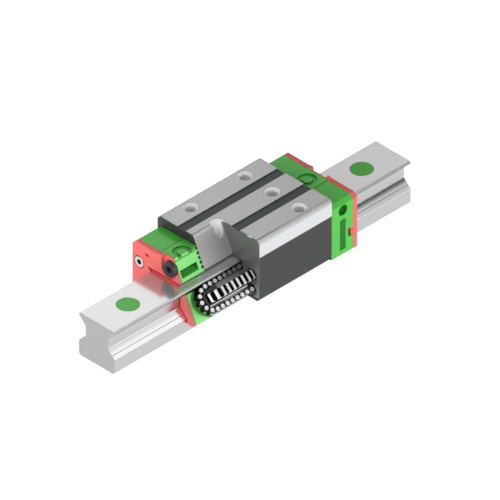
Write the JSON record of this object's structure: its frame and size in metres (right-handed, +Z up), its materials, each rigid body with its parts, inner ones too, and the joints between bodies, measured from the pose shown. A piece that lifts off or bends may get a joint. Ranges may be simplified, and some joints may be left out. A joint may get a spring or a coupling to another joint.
{
  "type": "linear guide",
  "caption": "Profiled-rail roller guide: a short rail with bolt holes and a narrow carriage, cut open at one corner to show the crossing roller circuits.",
  "frame": {"origin": "centre of the rail's underside", "axes": "+X along the rail, towards the rear end of the carriage; +Z up, out of the carriage's top; the cut-open side faces -Y"},
  "size_m": [0.19, 0.048, 0.04],
  "materials": {
    "ground_steel": "ground",
    "block_steel": "ground",
    "retainer_steel": "satin",
    "roller_steel": "polished",
    "bright_steel": "satin",
    "green_plastic": "satin",
    "red_seal": "satin",
    "black_plastic": "satin"
  },
  "bodies": {
    "rail": {"rail": "ground_steel", "rail_hole_caps": "green_plastic"},
    "carriage": {"carriage_block": "block_steel", "front_end_cap": "green_plastic", "front_end_seal": "red_seal", "front_grease_plug": "black_plastic", "front_turn_guide_left": "black_plastic", "front_turn_guide_right": "black_plastic", "rear_end_cap": "green_plastic", "rear_end_seal": "red_seal", "rear_grease_plug": "black_plastic", "rear_turn_guide_left": "black_plastic", "rear_turn_guide_right": "black_plastic", "front_cap_screw": "bright_steel", "rear_cap_screws": "bright_steel", "upper_retainer_left": "retainer_steel", "lower_retainer_left": "retainer_steel", "centre_retainer_left": "black_plastic", "bottom_seal_left": "black_plastic", "return_tube_upper_left": "black_plastic", "rollers_upper_left": "roller_steel", "return_tube_lower_left": "black_plastic", "rollers_lower_left": "roller_steel", "upper_retainer_right": "retainer_steel", "lower_retainer_right": "retainer_steel", "centre_retainer_right": "black_plastic", "bottom_seal_right": "black_plastic", "return_tube_upper_right": "black_plastic", "rollers_upper_right": "roller_steel", "return_tube_lower_right": "black_plastic", "rollers_lower_right": "roller_steel"}
  },
  "joints": [
    {"name": "carriage_slide", "type": "slide", "parent": "rail", "child": "carriage", "axis": [1, 0, 0], "range_m": [-0.046, 0.046]}
  ]
}
